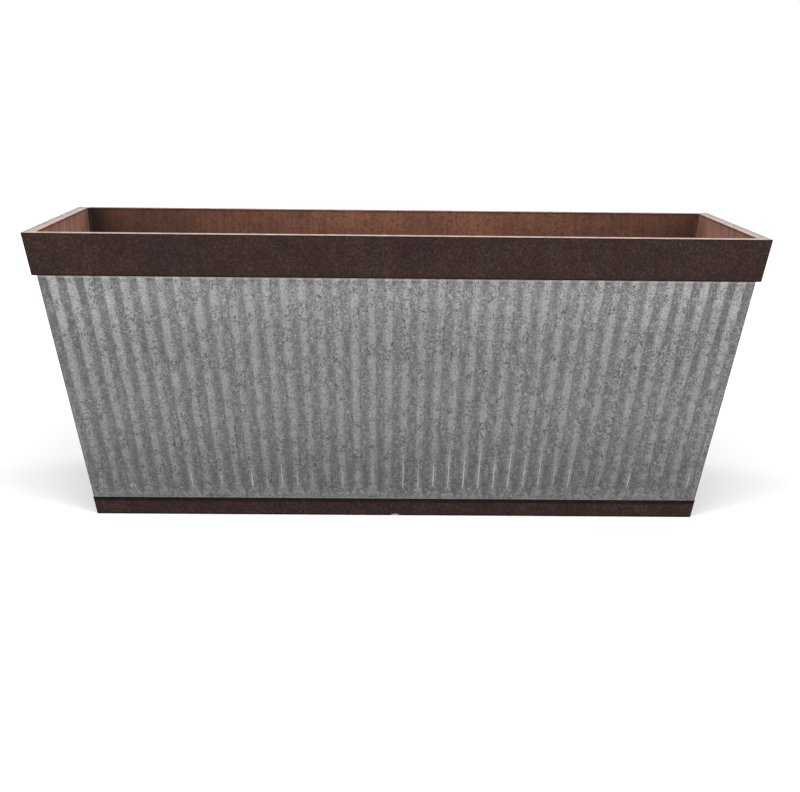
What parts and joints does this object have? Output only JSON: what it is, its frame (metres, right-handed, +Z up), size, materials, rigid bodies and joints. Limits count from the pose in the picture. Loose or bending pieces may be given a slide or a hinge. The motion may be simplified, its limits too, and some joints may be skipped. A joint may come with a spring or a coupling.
{
  "type": "deck rail planter",
  "caption": "Tapered rectangular planter with ribbed cladding and a lengthwise channel that sits astride a deck rail, with sliding rail brackets and lift-out drain plugs.",
  "frame": {"origin": "middle of the underside, on the ground plane of the feet", "axes": "+X along the deck rail, +Z up, front face towards -Y"},
  "size_m": [0.61, 0.254, 0.241],
  "materials": {
    "tub_resin": "satin brown, moulded",
    "umber_band": "dark umber with fine rust speckle, satin",
    "galvanised_sheet": "weathered galvanised grey, speckled",
    "zinc_steel": "zinc plated",
    "rubber": "matt"
  },
  "bodies": {
    "planter": {"planting_tub": "tub_resin", "rim_band": "umber_band", "front_panel": "galvanised_sheet", "rear_panel": "galvanised_sheet", "left_end_panel": "galvanised_sheet", "right_end_panel": "galvanised_sheet", "front_foot_band": "umber_band", "rear_foot_band": "umber_band", "left_rail_pad": "rubber", "right_rail_pad": "rubber", "foot_screws": "zinc_steel", "bracket_screws": "zinc_steel"},
    "drain_plug_front_left": {"drain_plug_front_left": "rubber"},
    "drain_plug_front_right": {"drain_plug_front_right": "rubber"},
    "drain_plug_rear_left": {"drain_plug_rear_left": "rubber"},
    "drain_plug_rear_right": {"drain_plug_rear_right": "rubber"},
    "rail_bracket_front_left": {"rail_bracket_front_left": "zinc_steel"},
    "rail_bracket_front_right": {"rail_bracket_front_right": "zinc_steel"},
    "rail_bracket_rear_left": {"rail_bracket_rear_left": "zinc_steel"},
    "rail_bracket_rear_right": {"rail_bracket_rear_right": "zinc_steel"}
  },
  "joints": [
    {"name": "plug_lift_front_left", "type": "slide", "parent": "planter", "child": "drain_plug_front_left", "axis": [0, 0, 1], "range_m": [0, 0.016]},
    {"name": "plug_lift_front_right", "type": "slide", "parent": "planter", "child": "drain_plug_front_right", "axis": [0, 0, 1], "range_m": [0, 0.016]},
    {"name": "plug_lift_rear_left", "type": "slide", "parent": "planter", "child": "drain_plug_rear_left", "axis": [0, 0, 1], "range_m": [0, 0.016]},
    {"name": "plug_lift_rear_right", "type": "slide", "parent": "planter", "child": "drain_plug_rear_right", "axis": [0, 0, 1], "range_m": [0, 0.016]},
    {"name": "bracket_slide_front_left", "type": "slide", "parent": "planter", "child": "rail_bracket_front_left", "axis": [0, 1, 0], "range_m": [0, 0.0255]},
    {"name": "bracket_slide_front_right", "type": "slide", "parent": "planter", "child": "rail_bracket_front_right", "axis": [0, 1, 0], "range_m": [0, 0.0255]},
    {"name": "bracket_slide_rear_left", "type": "slide", "parent": "planter", "child": "rail_bracket_rear_left", "axis": [0, -1, 0], "range_m": [0, 0.0255]},
    {"name": "bracket_slide_rear_right", "type": "slide", "parent": "planter", "child": "rail_bracket_rear_right", "axis": [0, -1, 0], "range_m": [0, 0.0255]}
  ]
}
